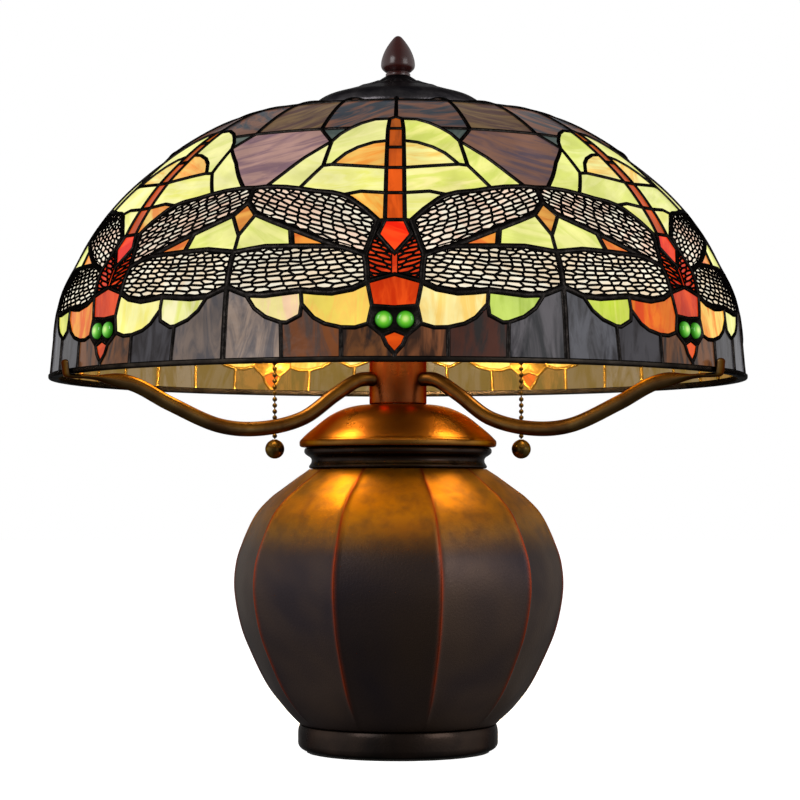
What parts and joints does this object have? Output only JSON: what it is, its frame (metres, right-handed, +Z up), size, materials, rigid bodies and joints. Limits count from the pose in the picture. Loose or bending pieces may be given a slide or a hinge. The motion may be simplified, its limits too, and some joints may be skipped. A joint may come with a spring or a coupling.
{
  "type": "stained glass table lamp",
  "caption": "Domed leaded-glass table lamp with winged insect motifs, two pull-chain lampholders and three shade arms on a ten-sided bronze vase base.",
  "frame": {"origin": "centre of the resting face under the foot, on the lamp's axis", "axes": "+Z up; -Y is the front, the side that one winged insect faces; +X is the lamp's right seen from the front"},
  "size_m": [0.4597, 0.4648, 0.4756],
  "materials": {
    "felt": "dark felt",
    "bronze": "dark patinated bronze, satin, warm where it is rubbed",
    "vase_bronze": "cast metal with a mottled dark bronze patina and rubbed red-brown ribs",
    "dark_bronze": "spun, near-black bronze patina",
    "steel": "zinc-plated steel",
    "brass": "antique brass",
    "rubber": "matt black rubber",
    "porcelain": "glazed porcelain insulator",
    "bulb_glass": "frosted glass",
    "art_glass": "streaky opalescent sheet glass in soldered leading",
    "jewel_glass": "pressed green glass cabochon",
    "lead_came": "soldered came with a dark patina",
    "finial_finish": "dark red-brown lacquered metal"
  },
  "bodies": {
    "base": {"felt_pad": "felt", "foot": "bronze", "pipe_nut": "steel", "pipe_washer": "steel", "lamp_pipe": "steel", "finial_stud": "steel", "cord_gland": "rubber", "vase_body": "vase_bronze", "neck_collar": "bronze", "vase_cap": "bronze", "column": "bronze", "shade_arm_left": "bronze", "shade_arm_right": "bronze", "shade_arm_back": "bronze", "cluster_body": "brass", "nipple_left": "steel", "socket_cap_left": "brass", "socket_shell_left": "brass", "socket_body_left": "porcelain", "chain_guide_left": "brass", "nipple_right": "steel", "socket_cap_right": "brass", "socket_shell_right": "brass", "socket_body_right": "porcelain", "chain_guide_right": "brass"},
    "bulb_left": {"bulb_screw_left": "steel", "bulb_glass_left": "bulb_glass"},
    "pull_left": {"pull_link_left": "brass"},
    "chain_left": {"pull_chain_left": "brass", "pull_ball_left": "brass"},
    "bulb_right": {"bulb_screw_right": "steel", "bulb_glass_right": "bulb_glass"},
    "pull_right": {"pull_link_right": "brass"},
    "chain_right": {"pull_chain_right": "brass", "pull_ball_right": "brass"},
    "shade": {"shade_section_1": "art_glass", "eye_jewel_1a": "jewel_glass", "eye_jewel_1b": "jewel_glass", "shade_section_2": "art_glass", "eye_jewel_2a": "jewel_glass", "eye_jewel_2b": "jewel_glass", "shade_section_3": "art_glass", "eye_jewel_3a": "jewel_glass", "eye_jewel_3b": "jewel_glass", "shade_section_4": "art_glass", "eye_jewel_4a": "jewel_glass", "eye_jewel_4b": "jewel_glass", "shade_section_5": "art_glass", "eye_jewel_5a": "jewel_glass", "eye_jewel_5b": "jewel_glass", "shade_section_6": "art_glass", "eye_jewel_6a": "jewel_glass", "eye_jewel_6b": "jewel_glass", "shade_section_7": "art_glass", "eye_jewel_7a": "jewel_glass", "eye_jewel_7b": "jewel_glass", "rim_came": "lead_came", "crown_ring": "brass", "crown_cap": "dark_bronze"},
    "finial": {"finial": "finial_finish"}
  },
  "joints": [
    {"name": "shade_lift", "type": "slide", "parent": "base", "child": "shade", "axis": [0, 0, 1], "range_m": [0, 0.2]},
    {"name": "finial_turn", "type": "hinge", "parent": "shade", "child": "finial", "pos_m": [0, 0, 0.4486], "axis": [0, 0, 1], "continuous": true},
    {"name": "pull_left_down", "type": "slide", "parent": "base", "child": "pull_left", "axis": [0, 0, -1], "range_m": [0, 0.01], "stiffness_N_per_m": 600, "springref_m": -0.002},
    {"name": "chain_left_swing", "type": "hinge", "parent": "pull_left", "child": "chain_left", "pos_m": [-0.082, 0, 0.2808], "axis": [1, 0, 0], "range_deg": [-12, 12]},
    {"name": "bulb_left_turn", "type": "hinge", "parent": "base", "child": "bulb_left", "pos_m": [0, 0, 0.2788], "axis": [-0.766, 0, 0.6428], "continuous": true},
    {"name": "pull_right_down", "type": "slide", "parent": "base", "child": "pull_right", "axis": [0, 0, -1], "range_m": [0, 0.01], "stiffness_N_per_m": 600, "springref_m": -0.002},
    {"name": "chain_right_swing", "type": "hinge", "parent": "pull_right", "child": "chain_right", "pos_m": [0.082, 0, 0.2808], "axis": [1, 0, 0], "range_deg": [-12, 12]},
    {"name": "bulb_right_turn", "type": "hinge", "parent": "base", "child": "bulb_right", "pos_m": [0, 0, 0.2788], "axis": [0.766, 0, 0.6428], "continuous": true}
  ]
}
